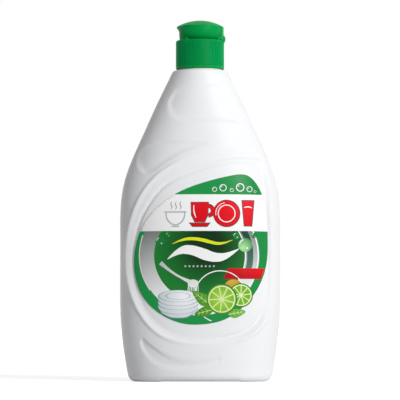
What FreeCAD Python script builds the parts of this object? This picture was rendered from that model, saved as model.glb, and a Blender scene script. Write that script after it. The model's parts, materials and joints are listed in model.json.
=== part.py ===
"""Dish soap bottle: a blow-moulded oval bottle with a screw-on flip-top cap.

Millimetres, +Z up, the front of the bottle faces -Y and +X is to its right. The origin is the middle of
the base, on the surface that the bottle stands on.

The bottle is one blow-moulded shell. Its outside, its inside and the liquid in it are the same moulded
form, each drawn at its own inset from the outside, so every recess is followed by the wall behind it.
The cap turns on a real helical thread and carries a flip lid on a film hinge at its right side.
"""

import FreeCAD
import Part
import math
import os
from FreeCAD import Vector

# Bottle body up to its shoulder ledge
BODY_WIDTH = 99.9
BODY_DEPTH = 60.0
BODY_HEIGHT = 194.0

# Height, half width, half depth and squareness (2 is an ellipse) of each section of the body as it is
# drawn; like the outlines below, they are stretched to the three sizes above
BODY_SECTIONS = [
    (0.0, 44.2, 26.8, 2.25),
    (15.0, 47.0, 28.6, 2.30),
    (35.0, 49.3, 29.7, 2.35),
    (60.0, 49.95, 30.0, 2.35),
    (90.0, 49.95, 30.0, 2.35),
    (110.0, 49.6, 29.7, 2.35),
    (125.0, 47.25, 28.6, 2.30),
    (140.0, 41.9, 26.5, 2.25),
    (155.0, 35.2, 23.9, 2.20),
    (170.0, 28.5, 21.4, 2.10),
    (185.0, 21.3, 18.7, 2.03),
    (194.0, 16.9, 16.9, 2.00),
]
SECTION_POINTS = 20
WALL = 0.9
BASE_ROUND = 4.0
LEDGE_ROUND = 0.9
BASE_ARCH_WIDTH = 50.0
BASE_ARCH_RISE = 0.6
PUSH_UP_SCALE = 0.72
PUSH_UP_RISE = 2.2

# Moulded recesses: how far each floor lies under the body's surface
BAND_DEPTH = 0.45
PANEL_DEPTH = 1.3
SHOULDER_DEPTH = 0.8
GRIP_DEPTH = 0.8
CRESCENT_DEPTH = 0.8

# Front view outlines, as (x, z) points that a smooth closed curve passes through; the numbers of the
# points that are corners follow where there are any
PANEL_EDGE = [
    (39.3, 137.0), (25.3, 137.4), (9.6, 134.8), (-6.0, 130.0), (-21.6, 122.3), (-32.9, 110.1),
    (-40.1, 95.8), (-42.7, 77.0), (-40.7, 58.9), (-33.8, 43.9), (-22.9, 33.0), (-9.1, 27.6),
    (6.5, 26.4), (22.8, 28.6), (38.0, 37.0), (42.3, 46.5), (43.4, 66.4), (43.4, 91.4), (42.4, 113.3),
]
PANEL_CORNERS = (0, 14)
BAND_EDGE = [
    (39.8, 138.6), (32.5, 143.5), (22.1, 146.7), (5.8, 143.3), (-10.0, 137.2), (-26.0, 127.5),
    (-37.6, 112.8), (-44.2, 94.0), (-46.0, 77.0), (-44.6, 62.0), (-37.6, 43.5), (-25.0, 29.5),
    (-10.0, 24.2), (8.0, 23.2), (24.0, 25.6), (39.4, 36.0), (43.6, 46.0), (44.6, 66.4), (44.6, 91.4),
    (43.6, 113.3),
]
BAND_CORNERS = (0, 15)
SHOULDER_EDGE = [
    (-20.2, 171.0), (-18.3, 177.5), (-13.5, 181.9), (-5.0, 183.5), (3.0, 183.3), (10.5, 180.5),
    (17.5, 175.0), (23.5, 168.5), (27.0, 163.0), (25.0, 160.2), (13.4, 160.8), (1.8, 160.8),
    (-9.5, 160.9), (-16.5, 163.6),
]
GRIP_EDGE = [
    (-39.6, 135.3), (-39.2, 140.2), (-36.4, 144.6), (-29.4, 147.8), (-21.6, 149.1), (-9.0, 148.8),
    (2.0, 148.3), (5.6, 147.2), (3.2, 146.0), (-6.0, 143.0), (-13.8, 139.4), (-21.6, 134.7),
    (-29.4, 129.4), (-35.0, 128.6),
]
CRESCENT_EDGE = [
    (-37.2, 24.0), (-35.9, 27.0), (-32.0, 24.4), (-22.0, 17.3), (-12.3, 13.4), (1.5, 12.8), (11.0, 14.4),
    (13.4, 13.9), (5.0, 10.2), (-6.0, 8.0), (-18.5, 8.1), (-28.5, 11.8), (-34.3, 17.6),
]
LABEL_EDGE = [
    (29.0, 127.5), (19.0, 127.2), (0.3, 122.3), (-18.5, 113.9), (-34.1, 98.9), (-40.5, 80.0), (-40.2, 66.0),
    (-36.2, 54.0), (-27.0, 43.6), (-12.3, 36.4), (0.3, 35.4), (13.0, 37.6), (24.0, 43.9), (35.0, 56.5),
    (41.0, 72.0), (41.9, 86.0), (41.5, 99.5), (39.5, 112.0), (35.5, 121.5),
]
SHARPEST_MITRE = 1.6

# Label
LABEL_THICKNESS = 0.2
GLUE_GAP = 0.06

# Liquid
LIQUID_CLEARANCE = 0.12
LIQUID_HEADSPACE = 29.0

# Neck finish
NECK_RADIUS = 10.85
NECK_WALL = 1.35
NECK_HEIGHT = 17.0
COLLAR_INSET = 1.1
COLLAR_HEIGHT = 0.9
NECK_RIM_ROUND = 0.35
THREAD_PITCH = 3.2
THREAD_TURNS = 1.5
THREAD_HEIGHT = 1.05
THREAD_ROOT_WIDTH = 1.3
THREAD_CREST_WIDTH = 0.7
THREAD_ROOT_SINK = 0.25
THREAD_START_BELOW_RIM = 2.0
THREAD_CLEARANCE = 0.3

# Sealing liner in the cap
LINER_THICKNESS = 0.8
LINER_HOLE = 3.0
LINER_SIDE_CLEARANCE = 0.3

# Cap base
CAP_WALL = 2.9
CAP_COLLAR_GAP = 0.2
CAP_DECK = 1.3
CAP_TOP_ROUND = 1.1
CAP_SKIRT_ROUND = 0.3
CAP_REST_TURN = 10.0
RIB_COUNT = 86
RIB_GROOVE_DEPTH = 0.3
RIB_GROOVE_WIDTH = 0.55
RIB_ZONE_ABOVE_SKIRT = 1.6
SPOUT_RADIUS = 3.4
SPOUT_HEIGHT = 3.2
SPOUT_ROUND = 0.6
ORIFICE_RADIUS = 1.8

# Flip lid: the belly that rolls under at the front and back, and the crown over it. Radii are given
# as insets from the cap's radius, and heights as rises over the lid's lower edge
LID_GAP = 0.15
LID_HEIGHT = 12.45
LID_WALL = 1.2
LID_FOOT_INSET = 4.3
LID_BELLY_INSET = 0.9
LID_BELLY_RISE = 6.3
LID_BROW_INSET = 1.0
LID_BROW_RISE = 8.75
LID_HOLLOW_FOOT_INSET = 5.5
LID_HOLLOW_INSET = 3.3
LID_HOLLOW_RISE = 3.8

# Thumb side of the lid, a waist under a rounded bead, and the flush wall at the hinge side
LID_SIDE_HALF_WIDTH = 7.8
THUMB_FOOT_INSET = 2.35
THUMB_WAIST_INSET = 2.0
THUMB_WAIST_RISE = 4.2
THUMB_FLARE_INSET = 1.75
THUMB_FLARE_RISE = 6.0
THUMB_BEAD_INSET = 0.5
THUMB_BEAD_RISE = 7.1
HINGE_WALL_INSET = 0.25
HINGE_WALL_RISE = 8.2
HINGE_WALL_ROUND = 0.8

# Stepped pin under the lid's crown
PLUG_CLEARANCE = 0.2
PLUG_ENTRY = 2.2
PLUG_TIP_RADIUS = 1.1
PLUG_STEM_RADIUS = 2.6
PLUG_STEM_STOP = 0.3

# Film hinge at the right side
HINGE_BULGE = 0.3
HINGE_HALF_WIDTH = 4.6
HINGE_ABOVE_DECK = 0.8
HINGE_RIB_BELOW = 1.7
HINGE_RIB_ABOVE = 2.3
HINGE_GAP = 0.15
HINGE_SEAT = 0.6
HINGE_SINK = 0.5
HINGE_BEND_IN = 0.35
HINGE_BEND_ALONG = 0.62

# Worked out from the above
WIDTH_STRETCH = BODY_WIDTH / 2 / max(section[1] for section in BODY_SECTIONS)
DEPTH_STRETCH = BODY_DEPTH / 2 / max(section[2] for section in BODY_SECTIONS)
HEIGHT_STRETCH = BODY_HEIGHT / BODY_SECTIONS[-1][0]
SECTIONS = [(z * HEIGHT_STRETCH, half_width * WIDTH_STRETCH, half_depth * DEPTH_STRETCH, squareness)
            for z, half_width, half_depth, squareness in BODY_SECTIONS]
LEDGE_Z = SECTIONS[-1][0]
NECK_TOP = LEDGE_Z + NECK_HEIGHT
NECK_BORE = NECK_RADIUS - NECK_WALL
THREAD_RADIUS = NECK_RADIUS + THREAD_HEIGHT
CAP_BORE = THREAD_RADIUS + THREAD_CLEARANCE
CAP_RADIUS = CAP_BORE + CAP_WALL
COLLAR_RADIUS = CAP_RADIUS - COLLAR_INSET
COLLAR_Z = LEDGE_Z + COLLAR_HEIGHT
SKIRT_Z = COLLAR_Z + CAP_COLLAR_GAP
DECK_UNDER_Z = NECK_TOP + LINER_THICKNESS
DECK_Z = DECK_UNDER_Z + CAP_DECK
SPOUT_Z = DECK_Z + SPOUT_HEIGHT
HINGE_Z = DECK_Z + HINGE_ABOVE_DECK
HINGE_X = CAP_RADIUS + HINGE_BULGE
HINGE_WALL_RADIUS = CAP_RADIUS - HINGE_WALL_INSET
LID_HOLLOW_FOOT = CAP_RADIUS - LID_HOLLOW_FOOT_INSET
LID_BOTTOM_Z = DECK_Z + LID_GAP
LID_TOP = LID_BOTTOM_Z + LID_HEIGHT
LID_CENTRE = Vector(0, 0, LID_BOTTOM_Z)


def superellipse(half_width, half_depth, squareness, angle):
    """The point of an oval section at this angle; the same rule gives an ellipse at squareness 2."""
    c, s = math.cos(angle), math.sin(angle)
    reach = (abs(c) ** squareness + abs(s) ** squareness) ** (-1.0 / squareness)
    return half_width * c * reach, half_depth * s * reach


def section_wire(z, half_width, half_depth, squareness):
    """One closed oval section of the body."""
    points = []
    for i in range(SECTION_POINTS):
        x, y = superellipse(half_width, half_depth, squareness, 2 * math.pi * i / SECTION_POINTS)
        points.append(Vector(x, y, z))
    curve = Part.BSplineCurve()
    curve.interpolate(Points=points, PeriodicFlag=True)
    return Part.Wire([curve.toShape()])


def body_loft(inset):
    """The smooth body with its whole surface moved in by inset, without recesses or rounded edges."""
    wires = []
    for z, half_width, half_depth, squareness in SECTIONS:
        if z == 0.0:
            z += inset
        if z == LEDGE_Z:
            z -= inset
        wires.append(section_wire(z, half_width - inset, half_depth - inset, squareness))
    return Part.makeLoft(wires, True, False)


def grown(points, distance):
    """The stretched outline with every point moved outwards, square to the line between its neighbours."""
    points = [(x * WIDTH_STRETCH, z * HEIGHT_STRETCH) for x, z in points]
    count = len(points)
    area = sum(points[i - 1][0] * points[i][1] - points[i][0] * points[i - 1][1] for i in range(count))
    outward = 1 if area > 0 else -1
    moved = []
    for i, (x, z) in enumerate(points):
        before, after = points[i - 1], points[(i + 1) % count]
        into = Vector(x - before[0], 0, z - before[1]).normalize()
        away = Vector(after[0] - x, 0, after[1] - z).normalize()
        along = (into + away).normalize()
        reach = outward * distance * min(1 / along.dot(into), SHARPEST_MITRE)
        moved.append((x + reach * along.z, z - reach * along.x))
    return moved


def outline_wire(points, corners=()):
    """The closed curve through front view points, drawn in the plane y = 0, smooth between its corners."""
    path = [Vector(x, 0, z) for x, z in points]
    if not corners:
        curve = Part.BSplineCurve()
        curve.interpolate(Points=path, PeriodicFlag=True)
        return Part.Wire([curve.toShape()])
    edges = []
    for start, end in zip(corners, corners[1:] + (len(path),)):
        curve = Part.BSplineCurve()
        curve.interpolate((path + path[:1])[start:end + 1])
        edges.append(curve.toShape())
    return Part.Wire(edges)


def front_prism(points, corners, grow):
    """The outline, grown outwards, as a cutter that reaches from the body's mid-plane to in front of it."""
    outline = outline_wire(grown(points, grow), corners)
    return Part.Face(outline).extrude(Vector(0, -BODY_DEPTH, 0))


def mirrored_front_to_back(shape):
    return shape.mirror(Vector(0, 0, 0), Vector(0, 1, 0))


def recess_list():
    """Each recess of the front: its outline, the outline's corners and the depth of its floor."""
    return [
        (BAND_EDGE, BAND_CORNERS, BAND_DEPTH),
        (PANEL_EDGE, PANEL_CORNERS, PANEL_DEPTH),
        (SHOULDER_EDGE, (), SHOULDER_DEPTH),
        (GRIP_EDGE, (), GRIP_DEPTH),
        (CRESCENT_EDGE, (), CRESCENT_DEPTH),
    ]


def edges_at(shape, z):
    """The edges that lie in the horizontal plane at z."""
    return [e for e in shape.Edges if abs(e.BoundBox.ZMin - z) < 1e-4 and abs(e.BoundBox.ZMax - z) < 1e-4]


def moulded_form(inset):
    """The body with every recess, its whole surface moved in by inset."""
    form = body_loft(inset)
    form = form.makeFillet(BASE_ROUND - inset, edges_at(form, inset))
    for points, corners, depth in recess_list():
        cutter = front_prism(points, corners, inset).cut(body_loft(depth + inset))
        form = form.cut(cutter)
        form = form.cut(mirrored_front_to_back(cutter))
    return form


def base_hollow():
    """What the base has above the standing plane: a shallow arch between two feet and the push-up."""
    z, half_width, half_depth, squareness = SECTIONS[0]
    deep = 2 * half_depth + 10
    arch = Part.makeBox(BASE_ARCH_WIDTH, deep, BASE_ARCH_RISE, Vector(-BASE_ARCH_WIDTH / 2, -deep / 2, 0))
    low = section_wire(0, half_width * PUSH_UP_SCALE, half_depth * PUSH_UP_SCALE, squareness)
    top_scale = PUSH_UP_SCALE - PUSH_UP_RISE / half_depth
    high = section_wire(PUSH_UP_RISE, half_width * top_scale, half_depth * top_scale, squareness)
    return arch.fuse(Part.makeLoft([low, high], True, False))


def thread_ridge(radius, outward, z_start, turns):
    """A trapezoidal helical ridge on a wall of this radius: outward on a neck, inward in a cap."""
    side = 1 if outward else -1
    foot = radius - side * THREAD_ROOT_SINK
    crest = radius + side * THREAD_HEIGHT
    helix = Part.makeHelix(THREAD_PITCH, THREAD_PITCH * turns, radius)
    half_root = THREAD_ROOT_WIDTH / 2
    half_crest = THREAD_CREST_WIDTH / 2
    corners = [
        Vector(foot, 0, -half_root),
        Vector(crest, 0, -half_crest),
        Vector(crest, 0, half_crest),
        Vector(foot, 0, half_root),
    ]
    profile = Part.makePolygon(corners + corners[:1])
    ridge = Part.Wire(helix.Edges).makePipeShell([profile], True, True)
    ridge.translate(Vector(0, 0, z_start))
    return ridge


def neck_thread_low_z():
    return NECK_TOP - THREAD_START_BELOW_RIM - THREAD_PITCH * THREAD_TURNS


def make_bottle():
    """The blow-moulded shell with its neck and thread."""
    outside = moulded_form(0.0)
    outside = outside.cut(base_hollow())
    outside = outside.makeFillet(LEDGE_ROUND, edges_at(outside, LEDGE_Z))
    neck = Part.makeCylinder(NECK_RADIUS, NECK_TOP - LEDGE_Z + WALL, Vector(0, 0, LEDGE_Z - WALL))
    neck = neck.makeFillet(NECK_RIM_ROUND, edges_at(neck, NECK_TOP))
    collar = Part.makeCylinder(COLLAR_RADIUS, COLLAR_HEIGHT + WALL, Vector(0, 0, LEDGE_Z - WALL))
    neck = neck.fuse(collar.makeFillet(NECK_RIM_ROUND, edges_at(collar, COLLAR_Z)))
    neck = neck.fuse(thread_ridge(NECK_RADIUS, True, neck_thread_low_z(), THREAD_TURNS))
    inside = moulded_form(WALL).cut(raised_base_floor())
    bore = Part.makeCylinder(NECK_BORE, NECK_TOP - LEDGE_Z + 4 * WALL, Vector(0, 0, LEDGE_Z - 3 * WALL))
    return outside.fuse(neck).cut(inside.fuse(bore))


def raised_base_floor():
    """The inside of the base follows the push-up: the floor slab and the raised middle."""
    z, half_width, half_depth, squareness = SECTIONS[0]
    scale = PUSH_UP_SCALE + WALL / half_depth
    low = section_wire(0, half_width * scale, half_depth * scale, squareness)
    top_scale = scale - PUSH_UP_RISE / half_depth
    high = section_wire(PUSH_UP_RISE + WALL, half_width * top_scale, half_depth * top_scale, squareness)
    slab = Part.makeBox(BASE_ARCH_WIDTH + 2 * WALL, 4 * half_depth, BASE_ARCH_RISE + WALL,
                        Vector(-BASE_ARCH_WIDTH / 2 - WALL, -2 * half_depth, 0))
    return slab.fuse(Part.makeLoft([low, high], True, False))


def make_liquid():
    """The soap, up to its fill level, a hair clear of the wall."""
    inset = WALL + LIQUID_CLEARANCE
    form = moulded_form(inset)
    floor = raised_base_floor()
    floor.translate(Vector(0, 0, LIQUID_CLEARANCE))
    level = LEDGE_Z - LIQUID_HEADSPACE
    below = Part.makeBox(2 * BODY_WIDTH, 2 * BODY_DEPTH, level, Vector(-BODY_WIDTH, -BODY_DEPTH, 0))
    return form.cut(floor).common(below)


def make_label():
    """The film on the panel's floor."""
    prism = front_prism(LABEL_EDGE, (), 0)
    under = PANEL_DEPTH - GLUE_GAP
    return prism.common(body_loft(under - LABEL_THICKNESS)).cut(body_loft(under))


def make_liner():
    """The round foam liner that the cap presses on the neck's rim."""
    radius = CAP_BORE - LINER_SIDE_CLEARANCE
    disc = Part.makeCylinder(radius, LINER_THICKNESS, Vector(0, 0, NECK_TOP))
    return disc.cut(Part.makeCylinder(LINER_HOLE, LINER_THICKNESS, Vector(0, 0, NECK_TOP)))


def rib_grooves():
    """The grooves between the grip ribs, all round the skirt."""
    low = SKIRT_Z + RIB_ZONE_ABOVE_SKIRT
    high = DECK_Z - CAP_TOP_ROUND / 2
    grooves = []
    for i in range(RIB_COUNT):
        groove = Part.makeBox(2 * RIB_GROOVE_DEPTH, RIB_GROOVE_WIDTH, high - low,
                              Vector(CAP_RADIUS - RIB_GROOVE_DEPTH, -RIB_GROOVE_WIDTH / 2, low))
        groove.rotate(Vector(0, 0, 0), Vector(0, 0, 1), 360.0 * (i + 0.5) / RIB_COUNT)
        grooves.append(groove)
    return Part.Compound(grooves)


def hinge_rib(z_flat, reach, wall_radius):
    """A rounded rib that bulges from the wall at the right side to the film line, below it or above it."""
    inner = CAP_BORE + HINGE_SEAT
    tip = Vector(HINGE_X, 0, z_flat)
    end = Vector(wall_radius - HINGE_SINK, 0, z_flat + reach)
    bend = Vector(HINGE_X - HINGE_BEND_IN * (HINGE_X - end.x), 0, z_flat + HINGE_BEND_ALONG * reach)
    wall_corner = Vector(inner, 0, z_flat + reach)
    flat_corner = Vector(inner, 0, z_flat)
    edges = [
        Part.Arc(tip, bend, end).toShape(),
        Part.LineSegment(end, wall_corner).toShape(),
        Part.LineSegment(wall_corner, flat_corner).toShape(),
        Part.LineSegment(flat_corner, tip).toShape(),
    ]
    rib = Part.Face(Part.Wire(edges)).extrude(Vector(0, 2 * HINGE_HALF_WIDTH, 0))
    rib.translate(Vector(0, -HINGE_HALF_WIDTH, 0))
    return rib


def make_cap_base():
    """The threaded skirt with its deck, spout, grip ribs and its half of the film hinge."""
    outer = Part.makeCylinder(CAP_RADIUS, DECK_Z - SKIRT_Z, Vector(0, 0, SKIRT_Z))
    outer = outer.makeFillet(CAP_TOP_ROUND, edges_at(outer, DECK_Z))
    outer = outer.makeFillet(CAP_SKIRT_ROUND, edges_at(outer, SKIRT_Z))
    outer = outer.cut(rib_grooves())
    spout = Part.makeCylinder(SPOUT_RADIUS, SPOUT_HEIGHT + CAP_DECK, Vector(0, 0, DECK_UNDER_Z))
    spout = spout.makeFillet(SPOUT_ROUND, edges_at(spout, SPOUT_Z))
    hinge = hinge_rib(HINGE_Z, -(HINGE_ABOVE_DECK + HINGE_RIB_BELOW), CAP_RADIUS)
    solid = outer.fuse(spout).fuse(hinge)
    bore = Part.makeCylinder(CAP_BORE, DECK_UNDER_Z - SKIRT_Z, Vector(0, 0, SKIRT_Z))
    orifice = Part.makeCylinder(ORIFICE_RADIUS, SPOUT_Z - DECK_UNDER_Z, Vector(0, 0, DECK_UNDER_Z))
    solid = solid.cut(bore).cut(orifice)
    start = neck_thread_low_z() - THREAD_PITCH / 2
    return solid.fuse(thread_ridge(CAP_BORE, False, start, THREAD_TURNS))


def crown_arc(radius, z_edge, z_top):
    """The arc of a ball's cap from its edge up to the axis."""
    rise = z_top - z_edge
    ball = (radius ** 2 + rise ** 2) / (2 * rise)
    circle = Part.Circle(Vector(0, 0, z_top - ball), Vector(0, -1, 0), ball)
    start = circle.parameter(Vector(radius, 0, z_edge))
    end = circle.parameter(Vector(0, 0, z_top))
    return Part.ArcOfCircle(circle, start, end).toShape()


def revolved(edges):
    """A solid turned about the cap's axis from the edges of a closed half profile."""
    return Part.Face(Part.Wire(edges)).revolve(Vector(0, 0, 0), Vector(0, 0, 1), 360)


def lid_point(inset, rise):
    """A point of a lid profile: how far in from the cap's radius and how high over the lid's lower edge."""
    return Vector(CAP_RADIUS - inset, 0, LID_BOTTOM_Z + rise)


def crown_and_axis(brow, top):
    """The edges that close a lid profile: the crown from its brow to the axis, and the axis down."""
    axis_top = Vector(0, 0, top)
    return [crown_arc(brow.x, brow.z, top), Part.LineSegment(axis_top, LID_CENTRE).toShape()]


def roll_under_arc(foot, side):
    """The arc from the foot out to the upright side, which it meets without a corner."""
    run, rise = side.x - foot.x, side.z - foot.z
    radius = (run ** 2 + rise ** 2) / (2 * run)
    half = math.asin(rise / radius) / 2
    middle = Vector(side.x - radius * (1 - math.cos(half)), 0, side.z - radius * math.sin(half))
    return Part.Arc(foot, middle, side).toShape()


def lid_belly():
    """The round lid, whose side rolls under towards the deck."""
    foot = lid_point(LID_FOOT_INSET, 0)
    side = lid_point(LID_BELLY_INSET, LID_BELLY_RISE)
    brow = lid_point(LID_BROW_INSET, LID_BROW_RISE)
    edges = [
        Part.LineSegment(LID_CENTRE, foot).toShape(),
        roll_under_arc(foot, side),
        Part.LineSegment(side, brow).toShape(),
    ]
    return revolved(edges + crown_and_axis(brow, LID_TOP))


def lid_thumb_side():
    """The round lid with the waist and the bead that the thumb lifts."""
    foot = lid_point(THUMB_FOOT_INSET, 0)
    waist = lid_point(THUMB_WAIST_INSET, THUMB_WAIST_RISE)
    flare = lid_point(THUMB_FLARE_INSET, THUMB_FLARE_RISE)
    bead_out = lid_point(THUMB_BEAD_INSET, (THUMB_BEAD_RISE + LID_BROW_RISE) / 2)
    bead_low = lid_point(LID_BROW_INSET, THUMB_BEAD_RISE)
    brow = lid_point(LID_BROW_INSET, LID_BROW_RISE)
    edges = [
        Part.LineSegment(LID_CENTRE, foot).toShape(),
        Part.LineSegment(foot, waist).toShape(),
        Part.Arc(waist, flare, bead_low).toShape(),
        Part.Arc(bead_low, bead_out, brow).toShape(),
    ]
    return revolved(edges + crown_and_axis(brow, LID_TOP))


def side_box(low, high, half_width, inner, outer):
    """A box at the hinge side, from its inner to its outer reach."""
    return Part.makeBox(outer - inner, 2 * half_width, high - low, Vector(inner, -half_width, low))


def hinge_wall():
    """The upright wall that closes the lid's side over the film hinge, rounded where it ends."""
    block = side_box(LID_BOTTOM_Z, LID_BOTTOM_Z + HINGE_WALL_RISE, LID_SIDE_HALF_WIDTH,
                     LID_HOLLOW_FOOT, HINGE_WALL_RADIUS)
    wall = block.common(Part.makeCylinder(HINGE_WALL_RADIUS, HINGE_WALL_RISE, LID_CENTRE))
    corners = [e for e in wall.Edges if e.BoundBox.ZLength > HINGE_WALL_RISE / 2
               and abs(e.CenterOfMass.y) > LID_SIDE_HALF_WIDTH / 2
               and e.CenterOfMass.x > LID_HOLLOW_FOOT + HINGE_WALL_ROUND]
    return wall.makeFillet(HINGE_WALL_ROUND, corners)


def lid_outside():
    """The belly, with the thumb side in place of its left and the flush wall at its right."""
    reach = 2 * CAP_RADIUS
    left = side_box(LID_BOTTOM_Z - LID_WALL, LID_TOP + LID_WALL, LID_SIDE_HALF_WIDTH, -reach, 0)
    lid = lid_belly().cut(left).fuse(lid_thumb_side().common(left)).fuse(hinge_wall())
    seat = side_box(LID_BOTTOM_Z, HINGE_Z + HINGE_GAP, HINGE_HALF_WIDTH + HINGE_GAP,
                    CAP_BORE + HINGE_SEAT - HINGE_GAP, reach)
    rib = hinge_rib(HINGE_Z + HINGE_GAP, HINGE_RIB_ABOVE, HINGE_WALL_RADIUS)
    return lid.cut(seat).fuse(rib).removeSplitter()


def lid_inside():
    """The hollow of the lid."""
    foot = lid_point(LID_HOLLOW_FOOT_INSET, 0)
    wide = lid_point(LID_HOLLOW_INSET, LID_HOLLOW_RISE)
    ceiling = lid_point(LID_HOLLOW_INSET, LID_BROW_RISE - LID_WALL)
    edges = [
        Part.LineSegment(LID_CENTRE, foot).toShape(),
        Part.LineSegment(foot, wide).toShape(),
        Part.LineSegment(wide, ceiling).toShape(),
    ]
    return revolved(edges + crown_and_axis(ceiling, LID_TOP - LID_WALL))


def lid_plug():
    """The stepped pin under the crown whose tip closes the orifice."""
    top = LID_TOP - LID_WALL / 2
    stop = SPOUT_Z + PLUG_STEM_STOP
    tip = SPOUT_Z - PLUG_ENTRY
    band = ORIFICE_RADIUS - PLUG_CLEARANCE
    stem = Part.makeCylinder(PLUG_STEM_RADIUS, top - stop, Vector(0, 0, stop))
    seal = Part.makeCylinder(band, stop - (SPOUT_Z - PLUG_ENTRY / 2), Vector(0, 0, SPOUT_Z - PLUG_ENTRY / 2))
    taper = Part.makeCone(PLUG_TIP_RADIUS, band, PLUG_ENTRY / 2, Vector(0, 0, tip))
    return stem.fuse(seal).fuse(taper)


def make_flip_lid():
    """The lid with its hollow and its plug."""
    return lid_outside().cut(lid_inside()).fuse(lid_plug())


def turned(shape):
    """A piece of the cap at the angle where the cap comes to rest on its thread."""
    shape.rotate(Vector(0, 0, 0), Vector(0, 0, 1), CAP_REST_TURN)
    return shape


def main():
    os.makedirs("parts", exist_ok=True)
    nodes = {
        "bottle": make_bottle(),
        "dish_liquid": make_liquid(),
        "front_label": make_label(),
        "cap_liner": make_liner(),
        "cap_base": turned(make_cap_base()),
        "flip_lid": turned(make_flip_lid()),
    }
    for name, shape in nodes.items():
        solids = shape.Solids
        print(f"{name}: {len(solids)} solid, {shape.Volume / 1000:.2f} cm3, valid {shape.isValid()}")
        body = solids[0] if len(solids) == 1 else Part.Compound(solids)
        body.exportStep(f"parts/{name}.step")


main()
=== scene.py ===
"""Looks of a dish soap bottle: blow-moulded body, printed label, ribbed cap and flip lid.

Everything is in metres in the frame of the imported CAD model. Sizes of the object are written in
millimetres in the classes below and are turned into metres where a mesh is made.
"""

import json
import logging
import math
from dataclasses import dataclass, field
from enum import Enum

import bmesh
import bpy
import numpy as np
from mathutils import Matrix, Vector

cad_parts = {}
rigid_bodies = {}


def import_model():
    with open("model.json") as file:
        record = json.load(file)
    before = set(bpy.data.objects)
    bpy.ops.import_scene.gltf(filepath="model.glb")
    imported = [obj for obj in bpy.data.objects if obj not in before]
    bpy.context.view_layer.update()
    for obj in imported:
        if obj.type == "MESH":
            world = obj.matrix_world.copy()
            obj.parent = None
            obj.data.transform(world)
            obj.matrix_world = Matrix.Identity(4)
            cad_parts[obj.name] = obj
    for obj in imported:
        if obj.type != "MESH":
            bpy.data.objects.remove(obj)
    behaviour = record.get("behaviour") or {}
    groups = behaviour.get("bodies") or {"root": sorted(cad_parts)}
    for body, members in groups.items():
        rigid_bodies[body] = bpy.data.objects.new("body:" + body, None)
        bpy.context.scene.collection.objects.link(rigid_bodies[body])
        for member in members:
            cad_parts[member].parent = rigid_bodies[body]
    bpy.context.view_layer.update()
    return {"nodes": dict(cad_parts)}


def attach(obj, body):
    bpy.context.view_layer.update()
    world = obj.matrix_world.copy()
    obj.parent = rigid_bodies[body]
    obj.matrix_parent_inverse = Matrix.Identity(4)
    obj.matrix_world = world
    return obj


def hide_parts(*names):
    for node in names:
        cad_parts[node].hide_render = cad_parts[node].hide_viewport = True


MM = 0.001
LOG = logging.getLogger("dish_soap_bottle")
Point = tuple[float, float]
Span = tuple[float, float]
Colour = tuple[float, float, float]


def natural_spline(knots: np.ndarray, values: np.ndarray, where: np.ndarray) -> np.ndarray:
    """Smooth curve through values at rising knots.

    Args:
        knots: positions of the given values.
        values: one value, or one row of values, at each knot.
        where: positions to read the curve at.
    Returns:
        The curve's values at those positions.
    """
    values = np.asarray(values, float).reshape(len(knots), -1)
    gaps = np.diff(knots)
    count = len(knots)
    matrix = np.eye(count)
    right = np.zeros_like(values)
    for i in range(1, count - 1):
        matrix[i, i - 1 : i + 2] = gaps[i - 1], 2 * (gaps[i - 1] + gaps[i]), gaps[i]
        right[i] = 6 * ((values[i + 1] - values[i]) / gaps[i] - (values[i] - values[i - 1]) / gaps[i - 1])
    bend = np.linalg.solve(matrix, right)
    where = np.clip(where, knots[0], knots[-1])
    span = np.clip(np.searchsorted(knots, where) - 1, 0, count - 2)
    h = gaps[span][:, None]
    left = ((knots[span + 1] - where)[:, None]) / h
    onward = 1 - left
    cubic = (left**3 - left) * bend[span] + (onward**3 - onward) * bend[span + 1]
    return left * values[span] + onward * values[span + 1] + cubic * h**2 / 6


def smooth_path(points: list[Point], closed: bool, steps: int = 14) -> np.ndarray:
    """Dense smooth line through front view points.

    Args:
        points: (x, z) points in millimetres.
        closed: whether the line returns to its first point.
        steps: pieces between two given points.
    Returns:
        The line's points, one row each.
    """
    raw = np.array(points, float)
    if closed:
        wrap = 4
        raw = np.vstack([raw[-wrap:], raw, raw[: wrap + 1]])
    run = np.concatenate([[0.0], np.cumsum(np.sqrt(np.linalg.norm(np.diff(raw, axis=0), axis=1)))])
    first, last = (wrap, len(raw) - 1 - wrap) if closed else (0, len(raw) - 1)
    where = np.concatenate(
        [np.linspace(run[i], run[i + 1], steps, endpoint=False) for i in range(first, last)]
        + ([] if closed else [run[-1:]])
    )
    return natural_spline(run, raw, where)


def share_out(positions: np.ndarray, weights: np.ndarray, count: int) -> np.ndarray:
    """Positions that divide a weighted run evenly.

    Args:
        positions: fine positions along the run.
        weights: the weight of each piece between two of them.
        count: how many positions to give back.
    Returns:
        The chosen positions, both ends among them.
    """
    run = np.concatenate([[0.0], np.cumsum(weights)])
    return np.interp(np.linspace(0, run[-1], count), run, positions)


def smooth_step(low: float, high: float, value: np.ndarray) -> np.ndarray:
    """Share from 0 at low to 1 at high with soft ends."""
    share = np.clip((value - low) / (high - low), 0, 1)
    return share * share * (3 - 2 * share)


def distance_to(path: np.ndarray, points: np.ndarray, closed: bool) -> np.ndarray:
    """Shortest distance from each point to a line of short runs.

    Args:
        path: the line's points, one row each.
        points: the points to measure, one row each.
        closed: whether the line returns to its first point.
    Returns:
        One distance for each point.
    """
    ends = np.roll(path, -1, axis=0) if closed else path[1:]
    starts = path if closed else path[:-1]
    best = np.full(len(points), np.inf)
    for start, end in zip(starts, ends):
        run = end - start
        share = np.clip(((points - start) @ run) / max(run @ run, 1e-12), 0, 1)
        best = np.minimum(best, np.linalg.norm(points - start - share[:, None] * run, axis=1))
    return best


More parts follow.
